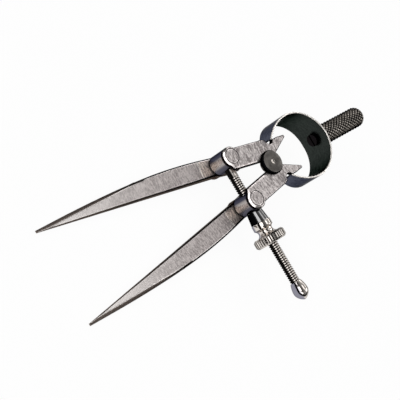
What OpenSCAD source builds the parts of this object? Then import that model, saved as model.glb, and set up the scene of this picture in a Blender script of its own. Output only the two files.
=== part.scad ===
// Spring dividers: two cranked steel legs on a fulcrum stud, held open by a bow spring,
// closed by a knurled nut on a screw that runs through two swivel barrels.
// Millimetres. The fulcrum axis is the Z axis and the origin is the middle of the stud's back face.
// +Y runs to the handle, +X to the nut and +Z faces up when the tool lies on the backs of its legs.
// Inside the modules heights are counted from the backs of the legs; place() moves them to the origin.

/* [Points] */
// distance from the fulcrum axis down to the points
point_y = 97.6; // [85:0.1:115]
// distance of each point from the mid line
point_x = 18.05; // [16:0.05:21]
// width of the blunt point
tip_width = 0.9; // [0.6:0.1:1.5]
// thickness of the blunt point
tip_thick = 1.1; // [0.9:0.1:1.8]

/* [Lower legs] */
// thickness of the lower leg at the swivel
leg_thick = 4.4; // [3.6:0.1:5.5]
// distance below the fulcrum at which the leg begins to taper in thickness
taper_y = 22; // [20:1:40]
// half width of the leg at the swivel, on its outer side
leg_half = 3.84; // [3:0.02:3.9]
// half width of the leg at the swivel, on its inner side
leg_inner_half = 3.56; // [3:0.02:3.9]
// how far the outer edge keeps its direction below the swivel
leg_top_pull = 17.4; // [10:0.1:25]
// how far the outer edge keeps its direction above the point
leg_tip_pull = 50; // [35:1:55]
// slope of the outer edge at the swivel
leg_flare = 0.194; // [0.1:0.002:0.2]
// slope of the outer edge at the point
leg_lean = 0.021; // [0:0.001:0.03]
// width of the bevel along the outer edge near the point
outer_bevel = 1.2; // [0.6:0.1:1.6]
// depth of that bevel at the edge
bevel_deep = 0.75; // [0.4:0.05:0.8]
// length of that bevel
bevel_run = 60; // [40:1:70]

/* [Pillars] */
// distance from the mid line of the pillar that joins arm and lower leg
pillar_x = 7.35; // [7:0.05:7.8]
// distance of the pillar below the fulcrum
pillar_y = 7.5; // [7:0.05:7.7]
// radius of the pillar
pillar_r = 2.75; // [2:0.05:2.9]
// radius of the rounded upper end of the lower leg
leg_end_r = 3.35; // [3:0.05:3.5]

/* [Arms] */
// clear height between the lower leg and the arm
fork_h = 8.1; // [7.5:0.1:10]
// thickness of the arm
arm_thick = 1.9; // [1.5:0.1:3]
// width of the arm
arm_wide = 8.36; // [7.5:0.02:8.6]
// distance of the arm's inner edge from the mid line at the fulcrum
arm_gap = 1.46; // [1.2:0.02:1.8]
// slope of both edges of the arm
arm_slope = 0.15; // [0.13:0.002:0.17]
// width of the bevel along the inner edge
arm_bevel = 0.75; // [0.3:0.05:1]
// depth of that bevel
arm_bevel_deep = 0.42; // [0.2:0.02:0.6]
// radius of the rounded shoulder below the spring's notch
shoulder_round = 5.5; // [4.5:0.1:7]
// radius of the notch that takes the end of the spring
notch_r = 1.75; // [1.5:0.05:1.9]
// distance of the prong's straight side from the mid line
prong_edge = 7.82; // [7.4:0.02:8.2]
// distance of the prong's tip from the mid line
prong_x = 6.78; // [6.2:0.02:7]
// distance of the prong's tip above the fulcrum
prong_y = 13.4; // [12:0.1:15]
// radius of the prong's tip
prong_r = 0.62; // [0.4:0.02:0.8]

/* [Swivels] */
// distance of each swivel axis from the mid line
swivel_x = 9.11; // [8.8:0.01:9.6]
// distance of each swivel axis below the fulcrum
swivel_y = 15.16; // [14.6:0.01:16]
// radius of the swivel barrel and of the round boss above it
swivel_r = 3.97; // [3.7:0.01:4.2]
// distance from the swivel axis to the flat that the ferrule bears on
swivel_flat = 3.65; // [3.4:0.05:3.7]
// radius of the trunnion pin that shows in the boss
pin_r = 2.85; // [2:0.05:3.1]
// radius of the trunnion pin in the back of the leg
back_pin_r = 2.25; // [1.5:0.05:2.6]
// depth of each trunnion pin in the barrel
pin_depth = 1.2; // [0.8:0.1:1.4]
// how far the back pin stays below the back of the leg
pin_sink = 0.1; // [0.05:0.05:0.3]

/* [Fulcrum stud] */
// radius of the front flange
flange_r = 4.8; // [4:0.1:5.5]
// thickness of the front flange
flange_thick = 1.55; // [1:0.05:2]
// chamfer round the front flange
flange_edge = 0.45; // [0.2:0.05:0.6]
// radius of the centre mark in the front flange
mark_r = 0.55; // [0.3:0.05:0.8]
// depth of the centre mark
mark_deep = 0.5; // [0.2:0.05:0.7]
// radius of the shank between the arms
shank_r = 2.5; // [2.2:0.05:2.8]
// radius of the back flange
back_flange_r = 3.2; // [3:0.1:4]
// thickness of the back flange
back_flange_thick = 0.8; // [0.6:0.1:1.5]

/* [Bow spring] */
// outside radius of the bow
bow_r = 13.7; // [13:0.1:14.5]
// thickness of the strip
bow_thick = 0.8; // [0.5:0.05:1]
// distance of the bow's centre above the fulcrum
bow_y = 15.2; // [14.6:0.1:16]
// half angle of the strip, from the handle round to an end
bow_end = 145; // [142:1:148]
// width of the strip at the handle
bow_wide = 15; // [12.5:0.1:16]
// width of the strip half way round
bow_mid = 11.9; // [10:0.1:12.5]
// width of the strip at its ends
bow_narrow = 7; // [5:0.1:9]

/* [Handle] */
// radius of the knurled handle
handle_r = 4.2; // [3.3:0.05:5]
// length of the handle above the crown of the bow
handle_len = 28.9; // [22:0.1:40]
// radius of the rounding at the end
handle_round = 2.6; // [1:0.1:3]
// radius of the turned-down foot that stands on the bow
handle_foot_r = 3.5; // [3:0.05:3.6]
// height of that foot above the crown of the bow
handle_foot = 0.7; // [0.4:0.1:1.5]
// radius of the screw that holds the handle
bolt_r = 1.5; // [1:0.05:2]
// length of that screw inside the handle
bolt_len = 9.7; // [6:0.1:14]
// radius of its head, inside the bow
bolt_head_r = 2.5; // [2.2:0.05:3]
// height of its head
bolt_head_h = 1.25; // [1:0.05:2]
// width of the slot in its head
bolt_slot = 0.6; // [0.4:0.05:0.9]

/* [Screw] */
// radius over the thread
screw_r = 1.9; // [1.5:0.05:2]
// height of the screw axis above the front of the lower leg
screw_rise = 4.6; // [4:0.1:4.9]
// how far the screw's fixed end reaches past the left swivel axis
screw_seat = 3.1; // [2:0.1:3.3]
// distance from the mid line to the end of the thread, where the finial begins
thread_end = 43.3; // [36:0.1:55]
// radius of the pin that anchors the screw in the left swivel
anchor_r = 0.6; // [0.4:0.05:0.8]
// how far the anchor pin reaches past the screw axis
anchor_past = 1.0; // [0.5:0.1:1.4]
// length of the finial
finial_len = 7.4; // [5.5:0.1:8.5]
// largest radius of the finial
finial_r = 3.0; // [2.8:0.05:3.5]
// depth of the screw in the finial
finial_socket = 4.2; // [3:0.1:5]

/* [Ferrule and nut] */
// length of the thrust ferrule
ferrule_len = 4.6; // [3:0.1:6]
// radius of the ferrule where it meets the nut
ferrule_r = 3.75; // [3.4:0.05:4.5]
// radius of the ferrule where it meets the swivel
ferrule_foot_r = 3.1; // [2.6:0.05:3.6]
// length of the nut
nut_len = 8.9; // [8:0.1:11]
// radius of the nut's collar
collar_r = 3.9; // [3.4:0.05:4.5]
// length of the collar
collar_len = 2.3; // [1.2:0.1:2.6]
// least radius of the nut's neck
neck_r = 2.94; // [2.4:0.02:3.2]
// radius of the nut's wheel
wheel_r = 6.35; // [5:0.05:7.5]
// length of the wheel
wheel_len = 3.7; // [3:0.1:4.5]
// chamfer of the wheel
wheel_edge = 0.5; // [0.3:0.05:0.8]
// number of grooves round the wheel
wheel_grooves = 36; // [24:1:40]
// radius of each groove
groove_r = 0.42; // [0.3:0.02:0.45]

/* [Fits] */
// radial clearance of a running fit
fit = 0.05; // [0.02:0.01:0.08]
// end clearance of the swivels, the stud and the nut
float = 0.05; // [0.02:0.01:0.1]

/* [Hidden] */
$fn = 96;
// overlap that keeps cuts clear of the faces they cross
over = 1;
arm_under = leg_thick + fork_h;
arm_top = arm_under + arm_thick;
arm_mid = arm_under + arm_thick / 2;
stud_back = arm_under - float - back_flange_thick;
screw_z = leg_thick + screw_rise;
crown_y = bow_y + bow_r;
bow_inner_r = bow_r - bow_thick;
// middle of the end of the spring, and the notch and shoulder that take it
spring_end = [(bow_r - bow_thick / 2) * sin(bow_end), bow_y + (bow_r - bow_thick / 2) * cos(bow_end)];
notch_shift = [0.82, 1.1];
shoulder_y = spring_end[1] - 0.45;
shoulder_base = shoulder_y - 3.45;
// the thread of screw and nut is drawn as its outer cylinder
ferrule_x = swivel_x + swivel_flat + float;
nut_x = ferrule_x + ferrule_len + float;
thin_edge = 0.3;

steel = [0.62, 0.60, 0.58];
polished = [0.83, 0.82, 0.80];
blued = [0.13, 0.14, 0.17];
gunmetal = [0.33, 0.33, 0.33];
black = [0.09, 0.09, 0.09];

function bezier(a, b, c, d, t) = pow(1 - t, 3) * a + 3 * pow(1 - t, 2) * t * b + 3 * (1 - t) * t * t * c + t * t * t * d;
function arc_points(centre, r, a0, a1, n) =
  [for (i = [0 : n]) centre + r * [cos(a0 + (a1 - a0) * i / n), sin(a0 + (a1 - a0) * i / n)]];

// edges of the right arm at height y above the fulcrum
function inner_x(y) = arm_gap - arm_slope * y;
function outer_x(y) = inner_x(y) + arm_wide;

// Lower leg, right hand, as seen from the front: a straight inner edge and one curve outside
module leg_plan() {
  top = [swivel_x + leg_half, -swivel_y];
  tip = [point_x + tip_width / 2, -point_y];
  outer = [for (i = [0 : 20])
    bezier(top, top + leg_top_pull * [leg_flare, -1], tip + leg_tip_pull * [leg_lean, 1], tip, i / 20)];
  translate([pillar_x, -pillar_y]) circle(leg_end_r);
  translate([swivel_x, -swivel_y]) circle(swivel_r);
  polygon(concat([[pillar_x + leg_end_r, -pillar_y]], outer,
                 [[point_x - tip_width / 2, -point_y], [swivel_x - leg_inner_half, -swivel_y], [pillar_x - leg_end_r, -pillar_y]]));
}

// Lower leg from the side: flat back, front face tapering to the point
module leg_side() {
  fall = (leg_thick - tip_thick) / (point_y - taper_y);
  polygon([[over, 0], [over, leg_thick], [-taper_y, leg_thick], [-point_y - over, tip_thick - fall * over], [-point_y - over, 0]]);
}

module lower_leg() {
  intersection() {
    linear_extrude(height = leg_thick) leg_plan();
    rotate([90, 0, 90]) linear_extrude(height = 2 * point_x) leg_side();
  }
}

// Bevel along the outer edge near the point, fading out where the edge curves in
module outer_edge_cut() {
  tilt = atan((leg_thick - tip_thick) / (point_y - taper_y));
  reach = 9;
  translate([point_x + tip_width / 2 + 0.12, -point_y, tip_thick]) rotate([tilt, 0, 0])
    translate([0, bevel_run, 0]) rotate([90, 0, 0]) linear_extrude(height = bevel_run + 4)
      polygon([[-3 * outer_bevel, 2 * bevel_deep], [2 * outer_bevel, -3 * bevel_deep],
               [reach, -3 * bevel_deep], [reach, reach], [-3 * outer_bevel, reach]]);
}

// Arm, right hand: round boss over the swivel, half of the fulcrum seat, spring notch and prong
module arm_plan() {
  foot_y = -swivel_y - 0.39 * swivel_r;
  boss_join_y = -swivel_y + 0.8 * swivel_r;
  rounding = [outer_x(shoulder_base) - shoulder_round, shoulder_base];
  difference() {
    union() {
      translate([swivel_x, -swivel_y]) circle(swivel_r);
      translate([prong_x, prong_y]) circle(prong_r, $fn = 48);
      polygon(concat(
        [[inner_x(foot_y), foot_y], [swivel_x - 0.78 * swivel_r, -swivel_y - 0.62 * swivel_r],
         [swivel_x, -swivel_y], [outer_x(boss_join_y), boss_join_y]],
        arc_points(rounding, shoulder_round, 0, asin((shoulder_y - shoulder_base) / shoulder_round), 8),
        [[prong_edge, shoulder_y], [prong_edge, prong_y - 3.2], [prong_x + prong_r, prong_y], [prong_x - 0.91 * prong_r, prong_y + 0.41 * prong_r],
         [arm_gap, shank_r + 0.5], [arm_gap, 0]]));
    }
    circle(shank_r + fit);
    translate(spring_end + notch_shift) circle(notch_r);
  }
}

// Bevel along the inner edge of the arm, from the fulcrum to the boss
module inner_edge_cut() {
  rise = arm_bevel_deep / arm_bevel;
  translate([arm_gap, 0, arm_top]) rotate([0, 0, atan(arm_slope)]) rotate([90, 0, 0])
    linear_extrude(height = swivel_y + 0.56 * swivel_r)
      polygon([[-over, over], [-over, -arm_bevel_deep - over * rise], [arm_bevel + over, over * rise], [arm_bevel + over, over]]);
}

// One cranked leg, right hand: lower leg in the back plane, arm in the front plane, a pillar between them
module leg_solid() {
  difference() {
    union() {
      lower_leg();
      translate([pillar_x, -pillar_y, leg_thick - over / 2]) cylinder(r = pillar_r, h = fork_h + over);
      translate([0, 0, arm_under]) linear_extrude(height = arm_thick) arm_plan();
    }
    inner_edge_cut();
    outer_edge_cut();
    translate([swivel_x, -swivel_y, arm_under - over]) cylinder(r = pin_r + fit, h = arm_thick + 2 * over);
    translate([swivel_x, -swivel_y, -over]) cylinder(r = back_pin_r + fit, h = leg_thick + 2 * over);
  }
}
module right_leg() {
  color(steel) leg_solid();
}
module left_leg() {
  color(steel) mirror([1, 0, 0]) leg_solid();
}

// Fulcrum stud: a grooved spool that both arms bear against
module fulcrum_stud() {
  front = arm_top + float;
  face = front + flange_thick;
  color(gunmetal) rotate_extrude()
    polygon([[0, stud_back], [back_flange_r - 0.2, stud_back], [back_flange_r, stud_back + 0.2],
             [back_flange_r, arm_under - float], [shank_r, arm_under - float], [shank_r, front], [flange_r, front],
             [flange_r, face - flange_edge], [flange_r - flange_edge, face], [mark_r, face], [0, face - mark_deep]]);
}

// Bow spring: an open ring of strip that narrows from the handle to its ends
module bow_ring() {
  tall = 2 * bow_wide;
  mouth = 3 * bow_r;
  translate([0, bow_y, arm_mid - tall / 2]) difference() {
    cylinder(r = bow_r, h = tall);
    translate([0, 0, -over]) cylinder(r = bow_inner_r, h = tall + 2 * over);
    translate([0, 0, -over]) linear_extrude(height = tall + 2 * over)
      polygon([[0, 0], mouth * [sin(bow_end), cos(bow_end)], mouth * [-sin(bow_end), cos(bow_end)]]);
  }
}
module bow_side() {
  end_y = spring_end[1] - bow_thick;
  quarter = bow_mid + 0.35 * (bow_wide - bow_mid);
  wide_at = [[crown_y + over, bow_wide], [bow_y + bow_r / 2, quarter], [bow_y - over, bow_mid], [end_y, bow_narrow]];
  polygon(concat([for (p = wide_at) [p[0], p[1] / 2]], [for (i = [3 : -1 : 0]) [wide_at[i][0], -wide_at[i][1] / 2]]));
}
module bow_spring() {
  color(blued) difference() {
    intersection() {
      bow_ring();
      translate([-2 * bow_r, 0, arm_mid]) rotate([90, 0, 90]) linear_extrude(height = 4 * bow_r) bow_side();
    }
    along_handle(bow_y) cylinder(r = bolt_r + fit, h = bow_r + over);
  }
}

// Places a shape on the handle's axis, starting y above the fulcrum
module along_handle(y) {
  translate([0, y, arm_mid]) rotate([-90, 0, 0]) children();
}

// Handle: a bar with a rounded end, saddled on the crown of the bow
module handle() {
  root = crown_y - 1;
  bar = crown_y + handle_foot;
  straight_end = crown_y + handle_len - handle_round;
  color(black) difference() {
    union() {
      along_handle(root) cylinder(r = handle_foot_r, h = bar - root + over);
      along_handle(bar) cylinder(r = handle_r, h = straight_end - bar);
      along_handle(straight_end) cylinder(r = handle_r - handle_round, h = handle_round);
      along_handle(straight_end) rotate_extrude() intersection() {
        translate([handle_r - handle_round, 0]) circle(handle_round);
        square([handle_r, handle_round]);
      }
    }
    translate([0, bow_y, arm_mid - handle_r - over]) cylinder(r = bow_r + 0.01, h = 2 * (handle_r + over), $fn = 192);
    along_handle(bow_y) cylinder(r = bolt_r, h = bow_r + bolt_len + 0.5);
  }
}

// Slotted screw that passes through the bow into the handle
module handle_screw() {
  seat = bow_y + sqrt(bow_inner_r * bow_inner_r - bolt_head_r * bolt_head_r) - 0.01;
  head = seat - bolt_head_h;
  color(gunmetal) difference() {
    union() {
      along_handle(head) cylinder(r = bolt_head_r, h = bolt_head_h);
      along_handle(head) cylinder(r = bolt_r, h = crown_y + bolt_len - head);
    }
    translate([-bolt_head_r - over, head - over, arm_mid - bolt_slot / 2])
      cube([2 * (bolt_head_r + over), over + bolt_head_h / 2, bolt_slot]);
  }
}

// Places a shape on the screw's axis, starting x from the mid line
module along_screw(x) {
  translate([x, -swivel_y, screw_z]) rotate([0, 90, 0]) children();
}

// Adjusting screw: fixed in the left swivel, free through the right one
module adjusting_screw() {
  start = -swivel_x - screw_seat;
  color(polished) difference() {
    along_screw(start) cylinder(r = screw_r, h = thread_end + finial_socket - start);
    anchor(swivel_r);
  }
}
// Bar across the left end of the screw, from the back of the left swivel
module anchor(reach) {
  translate([-swivel_x, -swivel_y - anchor_past, screw_z]) rotate([-90, 0, 0]) cylinder(r = anchor_r, h = anchor_past + reach);
}
module screw_anchor_pin() {
  color(polished) anchor(sqrt(swivel_r * swivel_r - anchor_r * anchor_r));
}

// Finial: an acorn that closes the end of the thread
module screw_finial() {
  lip = 0.74;
  half = finial_len / 2;
  steps = 12;
  swell = [for (i = [0 : steps]) [finial_r * (lip + (1 - lip) * sin(90 * i / steps)), half * i / steps]];
  tip = [for (i = [1 : steps]) [finial_r * pow(cos(90 * i / steps), 1.5), half + half * sin(90 * i / steps)]];
  color(polished) along_screw(thread_end) rotate_extrude() difference() {
    polygon(concat([[0, 0]], swell, tip));
    translate([-over, -over]) square([over + screw_r, over + finial_socket]);
  }
}

// Swivel barrel between lower leg and arm, side -1 left or 1 right, with seats for its trunnion pins
module barrel(side) {
  base = leg_thick + float;
  top = arm_under - float;
  translate([side * swivel_x, -swivel_y, 0]) difference() {
    translate([0, 0, base]) cylinder(r = swivel_r, h = top - base);
    translate([0, 0, top - pin_depth]) cylinder(r = pin_r, h = pin_depth + over);
    translate([0, 0, base - over]) cylinder(r = back_pin_r, h = pin_depth + over);
  }
}
module left_swivel() {
  color(steel) difference() {
    barrel(-1);
    along_screw(-swivel_x - screw_seat) cylinder(r = screw_r, h = screw_seat + swivel_r + over);
    anchor(swivel_r + over);
  }
}
module right_swivel() {
  color(steel) difference() {
    barrel(1);
    along_screw(swivel_x - swivel_r - over) cylinder(r = screw_r + 2 * fit, h = 2 * (swivel_r + over));
    translate([swivel_x + swivel_flat, -swivel_y - swivel_r, 0]) cube([swivel_r, 2 * swivel_r, arm_top]);
  }
}

// Trunnion pins: a wide one flush with the boss, a narrow one in the back of the leg
module front_pin(side) {
  base = arm_under - float - pin_depth;
  color(steel) translate([side * swivel_x, -swivel_y, base]) cylinder(r = pin_r, h = arm_top - base);
}
module back_pin(side) {
  top = leg_thick + float + pin_depth;
  color(steel) translate([side * swivel_x, -swivel_y, pin_sink]) cylinder(r = back_pin_r, h = top - pin_sink);
}
module left_front_pin() { front_pin(-1); }
module left_back_pin() { back_pin(-1); }
module right_front_pin() { front_pin(1); }
module right_back_pin() { back_pin(1); }

// Thrust ferrule: the washer that bears on the flat of the right swivel
module thrust_ferrule() {
  bore = screw_r + 2 * fit;
  color(black) along_screw(ferrule_x) rotate_extrude()
    polygon([[bore, 0], [ferrule_foot_r - 0.1, 0], [ferrule_foot_r + 0.1, 0.2], [ferrule_r, ferrule_len - thin_edge],
             [ferrule_r - thin_edge, ferrule_len], [bore, ferrule_len]]);
}

// Adjusting nut: collar, coved neck and a wheel with grooves for the fingers
module nut_profile() {
  bore = screw_r + fit;
  wheel_at = nut_len - wheel_len;
  shoulder = collar_r - thin_edge;
  cove = (wheel_at - collar_len) / 2;
  difference() {
    polygon([[bore, 0], [shoulder, 0], [collar_r, thin_edge], [collar_r, collar_len - thin_edge], [shoulder, collar_len],
             [shoulder, wheel_at], [wheel_r - wheel_edge, wheel_at], [wheel_r, wheel_at + wheel_edge],
             [wheel_r, nut_len - wheel_edge], [wheel_r - wheel_edge, nut_len], [bore, nut_len]]);
    translate([neck_r + cove, collar_len + cove]) circle(cove);
  }
}
module adjusting_nut() {
  color(polished) along_screw(nut_x) difference() {
    rotate_extrude() nut_profile();
    for (i = [0 : wheel_grooves - 1])
      rotate([0, 0, i * 360 / wheel_grooves]) translate([wheel_r + 0.12, 0, nut_len - wheel_len - over / 2])
        cylinder(r = groove_r, h = wheel_len + over, $fn = 24);
  }
}

module place() {
  translate([0, 0, -stud_back]) children();
}

place() left_leg();
place() right_leg();
place() bow_spring();
place() fulcrum_stud();
place() handle();
place() handle_screw();
place() adjusting_screw();
place() screw_anchor_pin();
place() screw_finial();
place() left_swivel();
place() left_front_pin();
place() left_back_pin();
place() right_swivel();
place() right_front_pin();
place() right_back_pin();
place() thrust_ferrule();
place() adjusting_nut();
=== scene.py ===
"""Spring dividers: the looks of the tool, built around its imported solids."""

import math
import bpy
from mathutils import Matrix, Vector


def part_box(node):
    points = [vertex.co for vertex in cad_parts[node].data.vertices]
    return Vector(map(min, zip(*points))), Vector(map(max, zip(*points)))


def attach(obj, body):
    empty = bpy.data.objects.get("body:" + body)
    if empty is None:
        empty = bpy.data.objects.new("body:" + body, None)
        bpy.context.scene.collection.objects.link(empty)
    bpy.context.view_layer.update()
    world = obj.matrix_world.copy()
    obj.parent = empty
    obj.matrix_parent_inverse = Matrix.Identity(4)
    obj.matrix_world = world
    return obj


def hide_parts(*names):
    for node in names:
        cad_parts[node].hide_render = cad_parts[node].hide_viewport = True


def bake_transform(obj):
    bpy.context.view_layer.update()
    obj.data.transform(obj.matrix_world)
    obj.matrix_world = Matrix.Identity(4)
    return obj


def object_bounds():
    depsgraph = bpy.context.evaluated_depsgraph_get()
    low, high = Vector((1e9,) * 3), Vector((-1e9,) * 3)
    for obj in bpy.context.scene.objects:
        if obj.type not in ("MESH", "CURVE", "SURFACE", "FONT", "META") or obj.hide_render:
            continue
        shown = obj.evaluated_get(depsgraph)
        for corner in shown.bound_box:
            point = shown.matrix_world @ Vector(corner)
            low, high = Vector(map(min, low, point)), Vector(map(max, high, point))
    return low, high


bl_info = {
    "name": "Spring Dividers",
    "version": (1, 0, 0),
    "blender": (4, 5, 0),
    "location": "3D View > Sidebar > Dividers",
    "description": "Builds spring dividers around their packed solids",
    "category": "Add Mesh",
}

import bpy
from mathutils import Matrix, Vector

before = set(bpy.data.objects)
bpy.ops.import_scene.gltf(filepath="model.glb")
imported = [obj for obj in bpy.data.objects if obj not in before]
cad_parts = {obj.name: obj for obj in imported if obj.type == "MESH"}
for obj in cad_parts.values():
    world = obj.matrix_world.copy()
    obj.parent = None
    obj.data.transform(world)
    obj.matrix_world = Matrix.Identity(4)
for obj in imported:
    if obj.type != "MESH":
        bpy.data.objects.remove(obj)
cad_box = [list(corner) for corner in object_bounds()]

MM = 0.001
SIDES = {"left": -1, "right": 1}
FLOOR_Z = cad_box[0][2]
# lengths below which points count as one, as on an axis, or as level
MERGE = 0.002 * MM
NEAR = 0.01 * MM
LEVEL_SLACK = 0.05 * MM
# rounding that only breaks an edge, and faces round a small turned piece
BREAK = 0.08 * MM
ROUND_STEPS = 96
# slant of a leg, which its grain follows, and how deep below its front its arm lies
LEAN = math.radians(8)
ARM_DEPTH = 1.8 * MM
# reach of a boss and of the groove round its pin, in radii of the pin, and the groove's rounding
BOSS_REACH = 1.6
PIN_GROOVE = 1.15
PIN_EDGE = 0.28 * MM
# finishes of a leg, in the order of its material slots; the dark one is painted shade on sides,
# bevels and bores
ARM, SIDE_SHADE, EDGE, SEAT, LEG, BROWN_SIDE, SEAT_HIGHLIGHT = range(7)
# slopes at which a leg's finish changes, as the upward part of a face's normal
LEVEL = 0.985
BOSS_SIDE, ARM_SIDE, LEG_SIDE = 0.69, 0.93, 0.96
LEG_UPRIGHT, LEG_LEVEL = 0.3, 0.9965
# length of one wave of Blender's Wave Texture at a scale of 1
WAVE_RUN = 0.31416


def linear(code):
    """Turns an sRGB hex colour to linear red, green, blue and alpha."""
    shades = [int(code[i:i + 2], 16) / 255 for i in (0, 2, 4)]
    return [s / 12.92 if s <= 0.04045 else ((s + 0.055) / 1.055) ** 2.4 for s in shades] + [1.0]


def length(name, description, default):
    """A length that a user can change, given in millimetres."""
    return bpy.props.FloatProperty(
        name=name, description=description, default=default * MM, min=0.0,
        unit="LENGTH", precision=5)


def colour(name, description, default):
    """A colour that a user can change, given as sRGB hex."""
    return bpy.props.FloatVectorProperty(
        name=name, description=description, default=linear(default), size=4,
        min=0.0, max=1.0, subtype="COLOR")


class DividerSizes(bpy.types.PropertyGroup):
    """Sizes of the details that the solids don't hold."""

    boss_edge: length("Boss edge", "Chamfer of the boss over the swivel", 0.66)
    arm_edge: length("Arm edge", "Rounding of the arm's front edges", 0.5)
    leg_edge: length("Leg edge", "Rounding of the lower leg's front edges", 0.9)
    back_edge: length("Back edge", "Rounding of all other leg edges", 0.25)
    tip_taper: length("Tip taper", "Length over which the roundings shrink to the point", 40)
    seat_run: length("Seat", "Length of the leg's bare seat below the barrel", 4.5)
    # width of the painted highlight line at the seat's end
    seat_line: length("Seat line", "Width of the bright line at the seat's end", 0.5)
    # height of the painted shadow line where a barrel stands on the leg
    foot_shadow_height: length("Barrel foot", "Height of the oily line round a barrel's foot", 0.65)
    strip: length("Strip", "Thickness of the bow spring", 0.8)
    strip_edge: length("Strip edge", "Rounding of the bow spring's edges", 0.34)
    flange: length("Flange", "Thickness of the stud's front flange", 1.55)
    flange_edge: length("Flange edge", "Chamfer of the stud's front flange", 0.45)
    mark_radius: length("Centre mark", "Radius of the stud's centre mark", 0.75)
    mark_depth: length("Mark depth", "Depth of the stud's centre mark", 0.75)
    shank_radius: length("Shank", "Radius of the stud between the arms", 2.5)
    back_radius: length("Back flange", "Radius of the stud's back flange", 3.2)
    back_thick: length("Back thickness", "Thickness of the stud's back flange", 0.8)
    knurl_depth: length("Knurl depth", "Depth of the handle's knurl", 0.3)
    knurl_run: length("Knurl run", "Length along the handle of one diamond", 1.8)
    knurl_count: bpy.props.IntProperty(
        name="Knurl count", description="Diamonds round the handle", default=18, min=8)
    foot_radius: length("Handle foot", "Radius of the handle's foot on the bow", 3.5)
    foot_height: length("Foot height", "Height of the handle's foot", 0.7)
    handle_round: length("Handle end", "Rounding of the handle's end", 2.6)
    pitch: length("Pitch", "Pitch of the adjusting screw", 0.9)
    thread_depth: length("Thread depth", "Depth of the adjusting screw's thread", 0.3)
    shank_length: length("Plain shank", "Length of the screw's plain end", 10.0)
    ferrule_foot: length("Ferrule foot", "Radius of the ferrule at the swivel", 3.1)
    collar_radius: length("Collar", "Radius of the nut's collar", 3.9)
    collar_length: length("Collar length", "Length of the nut's collar", 2.3)
    neck_radius: length("Neck", "Least radius of the nut's neck", 2.94)
    wheel_length: length("Wheel", "Length of the nut's wheel", 3.7)
    wheel_edge: length("Wheel edge", "Chamfer of the nut's wheel", 0.8)
    groove_radius: length("Groove", "Radius of a groove in the nut's wheel", 0.36)
    grooves: bpy.props.IntProperty(
        name="Grooves", description="Grooves round the nut's wheel", default=36, min=12)


class DividerColours(bpy.types.PropertyGroup):
    """Colours of the finishes."""

    leg_steel: colour("Leg steel", "Satin ground steel of the arms", "EAE3E1")
    leg_dark: colour("Leg grain", "Dark of the ground steel's grain", "8F8786")
    leg_shade: colour("Leg shade", "Duller ground steel of the lower legs", "CCC4C2")
    # painted light: the lower legs, their edges and their dark sides brighten towards the points
    leg_tip_light: colour("Leg tip light", "Painted light on the lower legs towards the points", "DEDAD7")
    # warm seat below the barrel, painted pale to lift the shade that barrel and arm cast there
    leg_seat: colour("Leg seat", "Warm seat below the barrel, painted pale against the shade of barrel and arm", "F6E9DF")
    # brown of the legs' upright sides; as the mask colour it lifts their dark sides towards the
    # points as painted light
    brown_side_tip_light: colour("Leg side tone", "Brown upright side tone on the legs' sides", "857A73")
    # painted shade: the legs' sides and bevels are painted near black; the handle screw uses this
    # dark too
    leg_side: colour("Leg sides", "Painted shade on the legs' sides", "1F1C1E")
    # bright steel of the barrels, shown in the band that paints the leg's reflection
    swivel_steel: colour("Swivel steel", "Bright steel of the barrels, in the band that paints the leg's reflection", "B4ADA9")
    # painted shade on the barrels' sides
    barrel_side_shade: colour("Barrel shade", "Painted slate shade on the sides of the barrels", "4C4C58")
    bright_steel: colour("Bright steel", "Nut, screw and finial", "E0D9D2")
    # painted shade on the undersides of the nut's collar and neck and of the finial
    painted_shade: colour("Underside shade", "Painted shade on the underside of nut and finial", "8E8D99")
    blued: colour("Blued spring", "Outer face of the bow's blued strip", "595C69")
    # painted shade: the bow's inner face is the outer blued steel, painted darker
    blued_inside_shade: colour("Blued inside", "Inner face of the bow's blued strip, darker as painted shade", "363B38")
    # pale ground edge of the bow's strip, whose colour also paints the highlight along it
    strip_edge: colour("Strip edge", "Pale ground edge of the bow's strip, also painting its highlight", "F4F0EA")
    gunmetal: colour("Gunmetal", "Turned face of the stud", "7A7672")
    black_oxide: colour("Black oxide", "Handle, ferrule and rim of the stud", "0D0D0F")
    worn: colour("Worn crest", "Worn crests of the knurl", "B2ABA3")
    # painted shade under the screw, in its thread roots and in the wheel's grooves; also the dark
    # grain of the legs' sides and the enamel's dust
    grime_and_shade: colour("Grime and shade", "Painted shade in thread roots, wheel grooves and under the screw; also dark grain and dust", "161413")
    floor: colour("Floor", "Plain floor under the tool", "FFFFFF")


def sizes():
    return bpy.context.scene.divider_sizes


def colours():
    return bpy.context.scene.divider_colours


def clamp(value):
    """Keeps a value between 0 and 1."""
    return min(1.0, max(0.0, value))


# Modelling helpers


def hold(piece):
    """Makes one piece the only selected and the active one."""
    bpy.ops.object.select_all(action="DESELECT")
    piece.select_set(True)
    bpy.context.view_layer.objects.active = piece
    return piece


def first_point(name, place):
    """Starts a piece as one vertex, in edit mode."""
    bpy.ops.object.select_all(action="DESELECT")
    bpy.ops.mesh.primitive_plane_add(size=MM)
    piece = bpy.context.object
    piece.name = name
    piece.data.name = name
    bpy.ops.object.mode_set(mode="EDIT")
    bpy.ops.mesh.select_mode(type="VERT")
    bpy.ops.mesh.merge(type="CENTER")
    bpy.ops.transform.translate(value=place)
    return piece


def draw_line(points):
    """Draws the selected vertex of the piece in edit mode out along the points."""
    for here, there in zip(points, points[1:]):
        bpy.ops.mesh.extrude_region_move(TRANSFORM_OT_translate={"value": there - here})
    bpy.ops.mesh.select_all(action="SELECT")


def edit(piece):
    """Goes into edit mode on one piece, with all of it selected."""
    hold(piece)
    bpy.ops.object.mode_set(mode="EDIT")
    bpy.ops.mesh.select_all(action="SELECT")


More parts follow.
